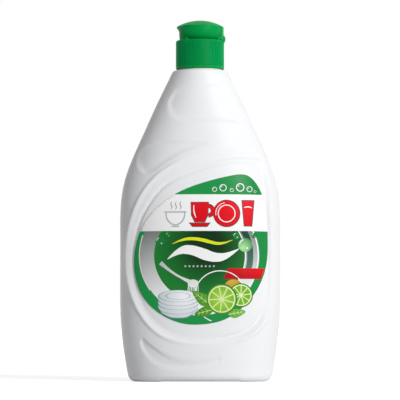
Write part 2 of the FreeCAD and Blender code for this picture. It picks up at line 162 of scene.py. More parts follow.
def inside_of(path: np.ndarray, points: np.ndarray) -> np.ndarray:
    """Whether each point lies within a closed line.

    Args:
        path: the line's points, one row each.
        points: the points to test, one row each.
    Returns:
        One truth value for each point.
    """
    inside = np.zeros(len(points), bool)
    x, z = points[:, 0], points[:, 1]
    for (x0, z0), (x1, z1) in zip(path, np.roll(path, -1, axis=0)):
        if z0 == z1:
            continue
        crossing = (z0 > z) != (z1 > z)
        inside ^= crossing & (x < (x1 - x0) * (z - z0) / (z1 - z0) + x0)
    return inside


class NodeSketch:
    """A material's node tree with short calls to add and join nodes."""

    def __init__(self, name: str) -> None:
        """Starts a material with an empty node tree.

        Args:
            name: the material's name.
        """
        self.material = bpy.data.materials.new(name)
        self.material.use_nodes = True
        self.tree = self.material.node_tree
        self.tree.nodes.clear()

    def add(self, kind: str, inputs: dict | None = None, **settings: object) -> bpy.types.Node:
        """Adds a node.

        Args:
            kind: the node's Blender type.
            inputs: socket name or number to a value or to another node's output socket.
            settings: the node's own settings.
        Returns:
            The new node.
        """
        node = self.tree.nodes.new(kind)
        for key, value in settings.items():
            setattr(node, key, value)
        for key, value in (inputs or {}).items():
            socket = node.inputs[key]
            if isinstance(value, bpy.types.NodeSocket):
                self.tree.links.new(value, socket)
            else:
                socket.default_value = value
        return node

    def coordinates(self) -> bpy.types.NodeSocket:
        """Object coordinates."""
        return self.add("ShaderNodeTexCoord").outputs["Object"]

    def vector_math(self, operation: str, first: object, second: object = None) -> bpy.types.Node:
        """Adds a vector calculation.

        Args:
            operation: the calculation's Blender name.
            first: its first value or socket.
            second: its second value or socket, where it has one.
        Returns:
            The new node.
        """
        inputs = {0: first} if second is None else {0: first, 1: second}
        return self.add("ShaderNodeVectorMath", inputs, operation=operation)

    def noise(self, scale: float, detail: float) -> bpy.types.NodeSocket:
        """Noise in object space.

        Args:
            scale: repeats per metre.
            detail: octaves.
        Returns:
            The noise's grey socket.
        """
        inputs = {"Vector": self.coordinates(), "Scale": scale, "Detail": detail}
        return self.add("ShaderNodeTexNoise", inputs).outputs["Fac"]

    def ramp(self, factor: bpy.types.NodeSocket, stops: list[tuple[float, Colour]]) -> bpy.types.NodeSocket:
        """Colour ramp.

        Args:
            factor: socket that drives it.
            stops: (position, colour) pairs.
        Returns:
            The ramp's colour socket.
        """
        node = self.add("ShaderNodeValToRGB", {"Fac": factor})
        elements = node.color_ramp.elements
        while len(elements) < len(stops):
            elements.new(0.5)
        for element, (position, colour) in zip(elements, stops):
            element.position = position
            element.color = (*colour, 1)
        return node.outputs["Color"]

    def spread(self, factor: bpy.types.NodeSocket, low: float, high: float) -> bpy.types.NodeSocket:
        """Maps 0..1 to low..high."""
        inputs = {"Value": factor, "To Min": low, "To Max": high}
        return self.add("ShaderNodeMapRange", inputs).outputs["Result"]

    def bump(self, height: bpy.types.NodeSocket, distance: float, strength: float,
             after: bpy.types.NodeSocket | None = None) -> bpy.types.NodeSocket:
        """Bump from a height.

        Args:
            height: grey height socket.
            distance: height of a full step in metres.
            strength: share of it that is used.
            after: normal of a bump before this one.
        Returns:
            The bumped normal.
        """
        inputs = {"Height": height, "Distance": distance, "Strength": strength}
        if after is not None:
            inputs["Normal"] = after
        return self.add("ShaderNodeBump", inputs).outputs["Normal"]

    def finish(self, inputs: dict) -> bpy.types.Material:
        """Ends the tree with a principled shader.

        Args:
            inputs: the shader's socket values and links.
        Returns:
            The finished material.
        """
        shader = self.add("ShaderNodeBsdfPrincipled", inputs)
        self.add("ShaderNodeOutputMaterial", {"Surface": shader.outputs["BSDF"]})
        return self.material


@dataclass(frozen=True)
class MouldedPlastic:
    """Moulded plastic with a faint skin texture and slight tone drift."""

    name: str
    colour: Colour
    drift: float = 0.03
    roughness: Span = (0.3, 0.42)
    grain_scale: float = 900.0
    grain_height: float = 0.00004
    wave_height: float = 0.0002
    specular: float = 0.14
    scatter: float = 0.0
    scatter_depth: float = 0.004

    def make(self) -> bpy.types.Material:
        """Builds the material.

        Returns:
            The finished material.
        """
        sketch = NodeSketch(self.name)
        low = tuple(c * (1 - self.drift) for c in self.colour)
        high = tuple(min(1.0, c * (1 + self.drift)) for c in self.colour)
        tone = sketch.ramp(sketch.noise(35.0, 2.0), [(0.35, low), (0.65, high)])
        grain = sketch.noise(self.grain_scale, 2.0)
        waves = sketch.bump(sketch.noise(60.0, 1.0), self.wave_height, 0.35)
        normal = sketch.bump(grain, self.grain_height, 0.5, waves)
        shine = sketch.spread(sketch.noise(120.0, 4.0), *self.roughness)
        inputs = {
            "Base Color": tone, "Roughness": shine, "Normal": normal, "Specular IOR Level": self.specular,
        }
        if self.scatter:
            inputs["Subsurface Weight"] = self.scatter
            inputs["Subsurface Radius"] = (0.4, 1.0, 0.6)
            inputs["Subsurface Scale"] = self.scatter_depth
        return sketch.finish(inputs)


@dataclass(frozen=True)
class PrintedInk:
    """Ink on film: two tones with a fine dot grain.

    The tones run from one point of the front view to another, or outward from the first where the
    ink is round. The first tone stays plain over flat_share of the way.
    """

    name: str
    low: Colour
    high: Colour
    from_point: Point = (-40.0, 40.0)
    to_point: Point = (40.0, 120.0)
    round: bool = False
    flat_share: float = 0.0
    roughness: float = 0.34
    specular: float = 0.12

    def make(self) -> bpy.types.Material:
        """Builds the material.

        Returns:
            The finished material.
        """
        sketch = NodeSketch(self.name)
        start = Vector((self.from_point[0], 0, self.from_point[1])) * MM
        run = Vector((self.to_point[0], 0, self.to_point[1])) * MM - start
        offset = sketch.vector_math("SUBTRACT", sketch.coordinates(), start).outputs["Vector"]
        if self.round:
            flat = sketch.vector_math("MULTIPLY", offset, Vector((1, 0, 1)) / run.length).outputs["Vector"]
            share = sketch.vector_math("LENGTH", flat).outputs["Value"]
        else:
            share = sketch.vector_math("DOT_PRODUCT", offset, run / run.length_squared).outputs["Value"]
        grain = sketch.spread(sketch.noise(2500.0, 1.0), -0.06, 0.06)
        mixed = sketch.add("ShaderNodeMath", {0: share, 1: grain}, operation="ADD")
        colour = sketch.ramp(mixed.outputs["Value"], [(self.flat_share, self.low), (1.0, self.high)])
        shine = sketch.spread(sketch.noise(300.0, 3.0), self.roughness * 0.85, self.roughness * 1.2)
        normal = sketch.bump(sketch.noise(110.0, 1.0), 0.0002, 0.15)
        return sketch.finish(
            {"Base Color": colour, "Roughness": shine, "Normal": normal, "Specular IOR Level": self.specular}
        )


@dataclass(frozen=True)
class StageFinish:
    """White floor that keeps the object's shadow and turns plain white further off."""

    name: str
    near_glow: float = 0.6
    near: float = 0.25
    far: float = 1.6
    colour: Colour = (0.86, 0.86, 0.86)

    def make(self) -> bpy.types.Material:
        """Builds the material.

        Returns:
            The finished material.
        """
        sketch = NodeSketch(self.name)
        diffuse = sketch.add("ShaderNodeBsdfDiffuse", {"Color": (*self.colour, 1)})
        path = sketch.add("ShaderNodeLightPath")
        seen = path.outputs["Is Camera Ray"]
        for kind in ("Is Glossy Ray", "Is Transmission Ray"):
            either = sketch.add("ShaderNodeMath", {0: seen, 1: path.outputs[kind]}, operation="MAXIMUM")
            seen = either.outputs["Value"]
        away = sketch.vector_math("LENGTH", sketch.coordinates()).outputs["Value"]
        limits = {
            "Value": away, "From Min": self.near, "From Max": self.far, "To Min": self.near_glow,
        }
        glow = sketch.add("ShaderNodeMapRange", limits, interpolation_type="SMOOTHSTEP").outputs["Result"]
        strength = sketch.add("ShaderNodeMath", {0: seen, 1: glow}, operation="MULTIPLY")
        light = sketch.add("ShaderNodeEmission", {"Strength": strength.outputs["Value"]})
        both = sketch.add("ShaderNodeAddShader", {0: diffuse.outputs["BSDF"], 1: light.outputs["Emission"]})
        sketch.add("ShaderNodeOutputMaterial", {"Surface": both.outputs["Shader"]})
        return sketch.material


WHITE_HDPE = MouldedPlastic("white_polyethylene", (0.835, 0.84, 0.855), 0.008, (0.36, 0.46), 700.0)
GREEN_PP = MouldedPlastic(
    "green_polypropylene", (0.0004, 0.33, 0.07), 0.04, (0.34, 0.46), 1200.0, specular=0.05, scatter=0.7
)
FOAM = MouldedPlastic("white_foam_liner", (0.8, 0.8, 0.78), 0.04, (0.7, 0.9), 3000.0, 0.0001)
SOAP = MouldedPlastic("green_soap", (0.05, 0.45, 0.12), 0.05, (0.05, 0.1), 200.0, 0.00001)


@dataclass
class Piece:
    """Shared helpers to turn a bmesh into a finished object."""

    name: str
    body: str
    slot: str

    def to_object(self, mesh: bmesh.types.BMesh, material: bpy.types.Material) -> bpy.types.Object:
        """Finishes a bmesh given in millimetres as a smooth object in metres.

        Args:
            mesh: the bmesh, which is freed.
            material: its finish.
        Returns:
            The object, riding on its body.
        """
        bmesh.ops.scale(mesh, vec=(MM, MM, MM), verts=mesh.verts)
        data = bpy.data.meshes.new(self.name)
        mesh.to_mesh(data)
        mesh.free()
        data.polygons.foreach_set("use_smooth", [True] * len(data.polygons))
        data.materials.append(material)
        thing = bpy.data.objects.new(self.name, data)
        bpy.context.scene.collection.objects.link(thing)
        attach(thing, self.body)
        return thing


@dataclass
class Recess:
    """A moulded scoop, drawn in the front view.

    Its outline is where it leaves the body's surface, and ramp is how far in it takes to reach its
    full depth. From fade_from to fade_to, front view x values, it falls to the share faded of that.
    """

    outline: list[Point]
    depth: float
    ramp: float
    fade_from: float = 1000.0
    fade_to: float = 2000.0
    faded: float = 0.0

    def depth_at(self, points: np.ndarray) -> np.ndarray:
        """How deep the recess is at front view points.

        Args:
            points: (x, z) rows in millimetres.
        Returns:
            One depth for each point.
        """
        path = smooth_path(self.outline, True)
        low, high = path.min(0) - 1, path.max(0) + 1
        near = ((points > low) & (points < high)).all(1)
        result = np.zeros(len(points))
        if not near.any():
            return result
        part = points[near]
        inward = np.where(inside_of(path, part), distance_to(path, part, True), 0.0)
        share = 1 - (1 - np.clip(inward / self.ramp, 0, 1)) ** 2
        share = share * (1 - (1 - self.faded) * smooth_step(self.fade_from, self.fade_to, part[:, 0]))
        result[near] = self.depth * share
        return result


@dataclass
class LabelPanel:
    """The label's sunk panel: a sloping band that ends in a crease, then a flat floor.

    The crease shows from low_crease up and again at the right of the foot. The crest beside the
    outer outline shows at the left and at the right of the foot. Each pair holds the front view x
    or z values between which one of them comes in or goes out.
    """

    outer: list[Point]
    inner: list[Point]
    depth: float = 1.3
    crease_depth: float = 0.85
    crease_place: float = 0.5
    crease_width: float = 1.5
    crest_height: float = 0.75
    crest_width: float = 1.7
    even_share: float = 0.6
    low_crease: Span = (42.0, 76.0)
    foot_crease_x: Span = (4.0, 22.0)
    foot_crease_z: Span = (38.0, 50.0)
    left_crest: Span = (-26.0, 4.0)
    foot_crest_x: Span = (12.0, 32.0)
    foot_crest_z: Span = (34.0, 46.0)

    def depth_at(self, points: np.ndarray) -> np.ndarray:
        """How deep the panel is at front view points.

        Args:
            points: (x, z) rows in millimetres.
        Returns:
            One depth for each point.
        """
        outer, inner = smooth_path(self.outer, True), smooth_path(self.inner, True)
        low, high = outer.min(0) - 3, outer.max(0) + 3
        near = ((points > low) & (points < high)).all(1)
        part = points[near]
        to_outer, to_inner = distance_to(outer, part, True), distance_to(inner, part, True)
        in_outer, in_inner = inside_of(outer, part), inside_of(inner, part)
        slope = to_outer / np.maximum(to_outer + to_inner, 1e-6)
        band = self.depth * (self.even_share * slope + (1 - self.even_share) * smooth_step(0, 1, slope))
        base = np.where(in_inner, self.depth, np.where(in_outer, band, 0.0))
        x, z = part.T
        foot_crease = smooth_step(*self.foot_crease_x, x) * (1 - smooth_step(*self.foot_crease_z, z))
        marked = np.maximum(smooth_step(*self.low_crease, z), foot_crease)
        inward = np.where(in_inner, to_inner, -to_inner)
        notch = np.clip(1 - np.abs(inward - self.crease_place) / self.crease_width, 0, 1)
        foot_crest = smooth_step(*self.foot_crest_x, x) * (1 - smooth_step(*self.foot_crest_z, z))
        raised = np.maximum(1 - smooth_step(*self.left_crest, x), foot_crest)
        ridge = np.exp(-((to_outer / self.crest_width) ** 2) * 2)
        result = np.zeros(len(points))
        result[near] = base + self.crease_depth * notch * marked - self.crest_height * ridge * raised
        return result


@dataclass
class BottleBody(Piece):
    """The blow-moulded body with its recesses, base and shoulder ledge."""

    sections: list[tuple[float, float, float, float]] = field(default_factory=lambda: [
        (0.0, 44.2, 26.8, 2.25), (15.0, 47.0, 28.6, 2.30), (35.0, 49.3, 29.7, 2.35),
        (60.0, 49.95, 30.0, 2.35), (90.0, 49.95, 30.0, 2.35), (110.0, 49.6, 29.7, 2.35),
        (125.0, 47.25, 28.6, 2.30), (140.0, 41.9, 26.5, 2.25), (155.0, 35.2, 23.9, 2.20),
        (170.0, 28.5, 21.4, 2.10), (185.0, 21.3, 18.7, 2.03), (194.0, 16.9, 16.9, 2.00),
    ])
    around: int = 340
    side_rows: int = 232
    detailed_heights: Span = (18.0, 163.0)
    plain_share: float = 0.45
    base_round: float = 4.0
    ledge_round: float = 0.9
    arch_edge: Span = (22.0, 26.0)
    arch_height: float = 7.0
    arch_rise: float = 0.6
    centre_scale: float = 0.02
    push_up_scale: float = 0.72
    push_up_slope: float = 0.1
    push_up_rise: float = 2.2
    seam_height: float = 0.1
    seam_width: float = 0.35
    seam_start: Span = (3.0, 9.0)
    seam_from_x: float = 10.0
    facing: Span = (0.1, 0.36)
    behind: Span = (0.05, 0.45)
    column_height: float = 75.0
    shrink: float = 0.12
    panel: LabelPanel = field(default_factory=lambda: LabelPanel(
        outer=[
            (39.8, 138.6), (36.5, 142.0), (31.0, 145.2), (22.1, 146.7), (5.8, 143.3), (-10.0, 137.2),
            (-26.0, 127.5), (-37.6, 112.8), (-44.2, 94.0), (-46.0, 77.0), (-44.6, 62.0), (-37.6, 43.5),
            (-25.0, 29.5), (-10.0, 24.2), (8.0, 23.2), (24.0, 25.6), (34.5, 31.0), (40.2, 37.5), (43.2, 46.0),
            (44.6, 66.4), (44.6, 91.4), (43.6, 113.3), (42.0, 130.0),
        ],
        inner=[
            (38.8, 136.0), (35.0, 137.2), (25.3, 137.4), (9.6, 134.8), (-6.0, 130.0), (-21.6, 122.3),
            (-32.9, 110.1), (-40.1, 95.8), (-42.7, 77.0), (-40.7, 58.9), (-33.8, 43.9), (-22.9, 33.0),
            (-9.1, 27.6), (6.5, 26.4), (22.8, 28.6), (32.5, 33.0), (38.4, 39.2), (41.7, 48.0), (43.4, 66.4),
            (43.4, 91.4), (42.4, 113.3), (40.9, 127.0),
        ],
    ))
    recesses: list[Recess] = field(default_factory=lambda: [
        Recess([
            (-20.2, 171.0), (-18.3, 177.5), (-13.5, 181.9), (-5.0, 183.5), (6.0, 184.5), (20.0, 186.0),
            (40.0, 186.0), (46.0, 170.0), (40.0, 157.2), (33.0, 157.6), (25.3, 159.7), (13.4, 160.8),
            (1.8, 160.8), (-9.5, 160.9), (-16.5, 163.6),
        ], 0.9, 3.0, 20.0, 28.0, 0.5),
        Recess([
            (-39.6, 135.3), (-39.2, 140.2), (-36.4, 144.6), (-29.4, 147.8), (-21.6, 149.1), (-9.0, 148.8),
            (2.0, 148.3), (5.6, 147.2), (3.2, 146.0), (-6.0, 143.0), (-13.8, 139.4), (-21.6, 134.7),
            (-29.4, 129.4), (-35.0, 128.6),
        ], 0.9, 3.5),
        Recess([
            (-37.2, 24.0), (-35.9, 27.0), (-32.0, 24.4), (-22.0, 17.3), (-12.3, 13.4), (1.5, 12.8),
            (11.0, 14.4), (13.4, 13.9), (5.0, 10.2), (-6.0, 8.0), (-18.5, 8.1), (-28.5, 11.8), (-34.3, 17.6),
        ], 0.9, 2.2),
    ])

    def section_at(self, z: np.ndarray) -> np.ndarray:
        """Half width, half depth and squareness at each height."""
        table = np.array(self.sections)
        return natural_spline(table[:, 0], table[:, 1:], z)

    def bare_point(self, z: np.ndarray, angle: np.ndarray, inset: np.ndarray) -> np.ndarray:
        """Points of the smooth body, moved in by an inset.

        Args:
            z: heights.
            angle: angles about the body's axis, 0 at +X.
            inset: how far in from the body's surface.
        Returns:
            One row of x, y and z for each point.
        """
        half_width, half_depth, squareness = self.section_at(z).T
        c, s = np.cos(angle), np.sin(angle)
        reach = (np.abs(c) ** squareness + np.abs(s) ** squareness) ** (-1 / squareness)
        return np.stack([(half_width - inset) * c * reach, (half_depth - inset) * s * reach, z], 1)

    def recess_depth(self, points: np.ndarray) -> np.ndarray:
        """Depth of all recesses together.

        Args:
            points: (x, z) rows in millimetres.
        Returns:
            One depth for each point.
        """
        deepest = self.panel.depth_at(points)
        for recess in self.recesses:
            deepest = deepest + recess.depth_at(points)
        return deepest

    def front_y(self, points: np.ndarray, depth: float) -> np.ndarray:
        """The y of the front surface at front view points, a given depth under the smooth body.

        Args:
            points: (x, z) rows in millimetres.
            depth: how far under the smooth body's surface.
        Returns:
            One y for each point, negative because the front faces -Y.
        """
        half_width, half_depth, squareness = self.section_at(points[:, 1]).T
        share = np.clip(np.abs(points[:, 0]) / (half_width - depth), 0, 0.999)
        return -(half_depth - depth) * (1 - share**squareness) ** (1 / squareness)

    def rows(self) -> list[tuple[float, float, float]]:
        """Rows of the body's grid, from the base's middle to the ledge's.

        Returns:
            Height, inset and scale of each row.
        """
        flat_scale = self.push_up_scale - self.push_up_slope
        rows = [(self.push_up_rise, 0.0, s) for s in np.linspace(self.centre_scale, flat_scale, 14)]
        for share in np.linspace(0, 1, 9)[1:]:
            drop = self.push_up_rise * (1 - smooth_step(0, 1, np.array(share)))
            rows.append((float(drop), 0.0, flat_scale + self.push_up_slope * share))
        half_width = self.sections[0][1]
        rim = 1 - self.base_round / half_width
        rows += [(0.0, 0.0, s) for s in np.linspace(self.push_up_scale, rim, 6)[1:-1]]
        for share in np.linspace(0, 1, 11)[:-1]:
            turn = share * math.pi / 2
            rows.append((self.base_round * (1 - math.cos(turn)), self.base_round * (1 - math.sin(turn)), 1.0))
        top = self.sections[-1][0]
        fine = np.linspace(self.base_round, top - self.ledge_round, 2001)
        low, high = self.detailed_heights
        weights = np.where((fine[1:] > low) & (fine[1:] < high), 1.0, self.plain_share)
        rows += [(z, 0.0, 1.0) for z in share_out(fine, weights, self.side_rows)]
        for share in np.linspace(0, 1, 7)[1:]:
            turn = share * math.pi / 2
            height = top - self.ledge_round * (1 - math.sin(turn))
            rows.append((height, self.ledge_round * (1 - math.cos(turn)), 1.0))
        ledge = 1 - self.ledge_round / self.sections[-1][1]
        rows += [(top, 0.0, s) for s in np.linspace(ledge, self.centre_scale, 12)[1:]]
        return rows

    def angles(self) -> np.ndarray:
        """Angles of the grid's columns, closer together on the label's side.

        Returns:
            One angle for each column, both ends of the turn among them.
        """
        fine = np.linspace(0, 2 * math.pi, 7201)
        ring = self.bare_point(np.full(len(fine), self.column_height), fine, np.zeros(len(fine)))
        behind = smooth_step(*self.behind, ring[1:, 1] / ring[:, 1].max())
        lengths = np.linalg.norm(np.diff(ring, axis=0), axis=1)
        return share_out(fine, lengths * (1 - (1 - self.plain_share) * behind), self.around + 1)

    def shape(self, mesh: bmesh.types.BMesh) -> None:
        """Moves a flat grid onto the body.

        Args:
            mesh: the grid, one unit wide and high about its middle.
        """
        rows, angles = self.rows(), self.angles()
        count = len(rows)
        place = np.array([v.co[:2] for v in mesh.verts])
        column = np.rint((place[:, 0] + 0.5) * self.around).astype(int)
        row = np.rint((place[:, 1] + 0.5) * (count - 1)).astype(int)
        table = np.array(rows)[row]
        angle = angles[column]
        z, inset, scale = table.T
        points = self.bare_point(z, angle, inset)
        points[:, :2] *= scale[:, None]
        side = (scale > 0.999) & (z > self.base_round * 0.5)
        flat = points[:, [0, 2]]
        facing = smooth_step(*self.facing, np.abs(points[:, 1]) / self.section_at(z)[:, 1])
        depth = np.where(side, self.recess_depth(flat) * facing, 0.0) + self.shrink * side
        seam = np.exp(-((points[:, 1] / self.seam_width) ** 2)) * (np.abs(points[:, 0]) > self.seam_from_x)
        depth = depth - self.seam_height * seam * side * smooth_step(*self.seam_start, z)
        points[:, :2] = np.where(
            side[:, None], self.bare_point(z, angle, inset + depth)[:, :2], points[:, :2]
        )
        arch = 1 - smooth_step(*self.arch_edge, np.abs(points[:, 0]))
        points[:, 2] += self.arch_rise * arch * (1 - smooth_step(0.0, self.arch_height, z))
        for vertex, point in zip(mesh.verts, points):
            vertex.co = point

    def build(self) -> bpy.types.Object:
        """Builds the body from a grid that is wrapped round and closed.

        Returns:
            The body.
        """
        mesh = bmesh.new()
        bmesh.ops.create_grid(mesh, x_segments=self.around, y_segments=len(self.rows()) - 1, size=0.5)
        self.shape(mesh)
        bmesh.ops.remove_doubles(mesh, verts=mesh.verts, dist=0.002)
        rims = [e for e in mesh.edges if e.is_boundary]
        bmesh.ops.holes_fill(mesh, edges=rims, sides=0)
        bmesh.ops.recalc_face_normals(mesh, faces=mesh.faces)
        thing = self.to_object(mesh, WHITE_HDPE.make())
        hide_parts("bottle")
        return thing


@dataclass
class ScrewNeck(Piece):
    """The neck finish with its bore, helical thread and the collar that it stands on."""

    radius: float = 10.85
    bore: float = 9.5
    low: float = 193.0
    top: float = 211.0
    rim_round: float = 0.35
    pitch: float = 3.2
    turns: float = 1.5
    thread_height: float = 1.05
    root_width: float = 1.3
    crest_width: float = 0.7
    start_below_rim: float = 2.0
    thread_sink: float = 0.25
    collar_radius: float = 14.0
    collar_top: float = 194.9
    steps_per_turn: int = 96

    def tube(self, inner: float, outer: float, top: float) -> bmesh.types.BMesh:
        """A round wall with a rounded top rim, spun from its profile.

        Args:
            inner: its inner radius.
            outer: its outer radius.
            top: the height of its rim.
        Returns:
            The wall's bmesh, in millimetres.
        """
        mesh = bmesh.new()
        corners = [(inner, self.low), (outer, self.low), (outer, top), (inner, top)]
        verts = [mesh.verts.new((r, 0, z)) for r, z in corners]
        for i in range(4):
            mesh.edges.new((verts[i], verts[(i + 1) % 4]))
        bmesh.ops.bevel(
            mesh, geom=verts[2:4], offset=self.rim_round, affect="VERTICES", segments=4, profile=0.5,
            material=-1,
        )
        bmesh.ops.spin(
            mesh, geom=list(mesh.verts) + list(mesh.edges), cent=(0, 0, 0), axis=(0, 0, 1),
            angle=2 * math.pi, steps=self.steps_per_turn, use_merge=True,
        )
        return mesh

    def thread(self) -> bmesh.types.BMesh:
        """The thread's ridge, spun along its helix.

        Returns:
            The ridge's bmesh, in millimetres.
        """
        mesh = bmesh.new()
        half_root, half_crest = self.root_width / 2, self.crest_width / 2
        start = self.top - self.start_below_rim - self.pitch * self.turns
        foot, crest = self.radius - self.thread_sink, self.radius + self.thread_height
        corners = [(foot, -half_root), (crest, -half_crest), (crest, half_crest), (foot, half_root)]
        face = mesh.faces.new([mesh.verts.new((r, 0, start + z)) for r, z in corners])
        steps = round(self.steps_per_turn * self.turns)
        bmesh.ops.spin(
            mesh, geom=[face], cent=(0, 0, 0), axis=(0, 0, 1), dvec=(0, 0, self.pitch * self.turns / steps),
            angle=2 * math.pi * self.turns, steps=steps, use_merge=False,
        )
        return mesh

    def build(self) -> list[bpy.types.Object]:
        """Builds the neck, its thread and its collar.

        Returns:
            The three pieces.
        """
        material = WHITE_HDPE.make()
        made = []
        shapes = {
            "bottle_neck": self.tube(self.bore, self.radius, self.top),
            "bottle_thread": self.thread(),
            "bottle_collar": self.tube(self.radius, self.collar_radius, self.collar_top),
        }
        for name, mesh in shapes.items():
            bmesh.ops.remove_doubles(mesh, verts=mesh.verts, dist=0.0005)
            bmesh.ops.recalc_face_normals(mesh, faces=mesh.faces)
            thing = Piece(name, self.body, self.slot).to_object(mesh, material)
            split_sharp_edges(thing, 40.0)
            made.append(thing)
        return made


def split_sharp_edges(thing: bpy.types.Object, angle: float) -> None:
    """Keeps sharp edges crisp under smooth shading.

    Args:
        thing: the piece.
        angle: edges sharper than this many degrees are split.
    """
    split = thing.modifiers.new("crisp_edges", "EDGE_SPLIT")
    split.split_angle = math.radians(angle)
    split.use_edge_sharp = False


class Ink(Enum):
    """The label's bare film and its inks."""

    FILM = PrintedInk("film_white", (0.88, 0.88, 0.885), (0.92, 0.92, 0.92))
    GREEN = PrintedInk("ink_green", (0.012, 0.31, 0.07), (0.01, 0.245, 0.054), (-40, 80), (40, 80))
    SILVER = PrintedInk("ink_silver", (0.86, 0.88, 0.87), (0.2, 0.23, 0.22), (-16, 54), (-16, 92))
    TEAL = PrintedInk("ink_teal", (0.1, 0.2, 0.15), (0.004, 0.06, 0.035), (30, 66), (33, 88))
    DARK = PrintedInk("ink_dark_green", (0.0, 0.024, 0.004), (0.012, 0.2, 0.03), (4, 84), (30, 66), True, 0.3)
    WHITE = PrintedInk("ink_white", (0.86, 0.88, 0.86), (0.9, 0.9, 0.9))
    GREY = PrintedInk("ink_grey", (0.5, 0.51, 0.52), (0.36, 0.37, 0.39), (-22, 96), (-9, 108))
    SHADE = PrintedInk("ink_shade", (0.1, 0.06, 0.06), (0.05, 0.05, 0.05), (-6, 96), (34, 112))
    RED = PrintedInk("ink_red", (0.62, 0.0, 0.008), (0.78, 0.006, 0.014), (0, 95), (6, 113))
    DEEP_RED = PrintedInk("ink_ribbon_red", (0.42, 0.0, 0.006), (0.76, 0.008, 0.016), (20, 65), (22, 73))
    YELLOW = PrintedInk("ink_yellow", (0.8, 0.78, 0.01), (0.6, 0.72, 0.02), (-18, 84), (24, 88))
    LEMON = PrintedInk("ink_lemon", (0.72, 0.46, 0.06), (0.36, 0.16, 0.015), (19, 64), (27, 58), True)
    RIND = PrintedInk("ink_rind", (0.07, 0.26, 0.012), (0.03, 0.17, 0.01), (8, 44), (30, 62))
    PITH = PrintedInk("ink_pith", (0.62, 0.78, 0.3), (0.76, 0.86, 0.5), (8, 44), (30, 62))
    FLESH = PrintedInk("ink_flesh", (0.42, 0.66, 0.08), (0.16, 0.44, 0.015), (13, 51), (22, 51), True)
    LEAF = PrintedInk("ink_leaf", (0.02, 0.17, 0.012), (0.13, 0.42, 0.04), (-8, 40), (12, 54))
    BUBBLE = PrintedInk("ink_bubble", (0.4, 0.78, 0.36), (0.008, 0.2, 0.04), (26.4, 82.5), (31, 88.5), True)
    PLATE = PrintedInk("ink_plate", (0.9, 0.92, 0.93), (0.5, 0.58, 0.62), (-10, 52), (-26, 40), True)
    BLUE_GREY = PrintedInk("ink_blue_grey", (0.07, 0.13, 0.22), (0.24, 0.32, 0.4), (-26, 44), (0, 58))


class FlatArt:
    """A flat drawing in the front view, in millimetres, whose shapes add up in one mesh."""

    def __init__(self) -> None:
        """Starts an empty drawing."""
        self.mesh = bmesh.new()

    def face(self, points: list[Point] | np.ndarray) -> "FlatArt":
        """Adds a filled shape with the given corners."""
        self.mesh.faces.new([self.mesh.verts.new((x, 0, z)) for x, z in points])
        return self

    def disc(self, centre: Point, radius: float, squash: float = 1.0) -> "FlatArt":
        """Adds a disc or an ellipse.

        Args:
            centre: its middle.
            radius: half its width.
            squash: its height as a share of its width.
        Returns:
            This drawing.
        """
        made = bmesh.ops.create_circle(self.mesh, cap_ends=True, radius=radius, segments=72)["verts"]
        bmesh.ops.rotate(self.mesh, verts=made, matrix=Matrix.Rotation(math.pi / 2, 3, "X"))
        bmesh.ops.scale(self.mesh, verts=made, vec=(1, 1, squash))
        bmesh.ops.translate(self.mesh, verts=made, vec=(centre[0], 0, centre[1]))
        return self

    def arc(self, centre: Point, inner: float, outer: float, start: float = 0.0, end: float = 360.0,
            squash: float = 1.0) -> "FlatArt":
        """Adds a part of a ring.

        Args:
            centre: the ring's middle.
            inner: its inner radius.
            outer: its outer radius.
            start: angle in degrees at which it starts, 0 at +X and 90 at +Z.
            end: angle at which it ends.
            squash: its height as a share of its width.
        Returns:
            This drawing.
        """
        turn = np.radians(np.linspace(start, end, max(9, round(abs(end - start) / 5) + 1)))
        rim = np.stack([np.cos(turn), np.sin(turn) * squash], 1)
        return self.strip(rim * inner + centre, rim * outer + centre)

    def stroke(self, points: list[Point], widths: list[float]) -> "FlatArt":
        """Adds a smooth stroke.

        Args:
            points: points along its middle.
            widths: its width at each of them.
        Returns:
            This drawing.
        """
        path = smooth_path(points, False, 10)
        half = np.interp(np.linspace(0, len(points) - 1, len(path)), range(len(points)), widths)[:, None] / 2
        along = np.gradient(path, axis=0)
        across = np.stack([-along[:, 1], along[:, 0]], 1) / np.linalg.norm(along, axis=1, keepdims=True)
        return self.strip(path - across * half, path + across * half)

    def strip(self, one: np.ndarray, other: np.ndarray) -> "FlatArt":
        """Adds the faces between two lines of as many points.

        Args:
            one: the points of the first line, one row each.
            other: the points of the second.
        Returns:
            This drawing.
        """
        sides = [[self.mesh.verts.new((x, 0, z)) for x, z in line] for line in (one, other)]
        for i in range(len(one) - 1):
            self.mesh.faces.new((sides[0][i], sides[0][i + 1], sides[1][i + 1], sides[1][i]))
        return self

    def cut(self, point: Point, outward: Point) -> "FlatArt":
        """Removes what lies beyond a line.

        Args:
            point: a point on the line.
            outward: the direction, square to the line, of what is removed.
        Returns:
            This drawing.
        """
        bmesh.ops.bisect_plane(
            self.mesh, geom=self.everything(), plane_co=(point[0], 0, point[1]),
            plane_no=(outward[0], 0, outward[1]), clear_outer=True,
        )
        return self

    def divide(self, spacing: float) -> None:
        """Cuts the faces small enough to follow a curved surface, along a square grid and into triangles.

        Args:
            spacing: distance between the grid's lines.
        """
        corners = np.array([v.co for v in self.mesh.verts])
        for axis, normal in ((0, Vector((1, 0, 0))), (2, Vector((0, 0, 1)))):
            low, high = corners[:, axis].min() / spacing, corners[:, axis].max() / spacing
            for step in range(math.ceil(low), math.floor(high) + 1):
                place = normal * step * spacing
                bmesh.ops.bisect_plane(self.mesh, geom=self.everything(), plane_co=place, plane_no=normal)
        bmesh.ops.triangulate(self.mesh, faces=self.mesh.faces)

    def everything(self) -> list:
        """All of the drawing's vertices, edges and faces."""
        return [*self.mesh.verts, *self.mesh.edges, *self.mesh.faces]


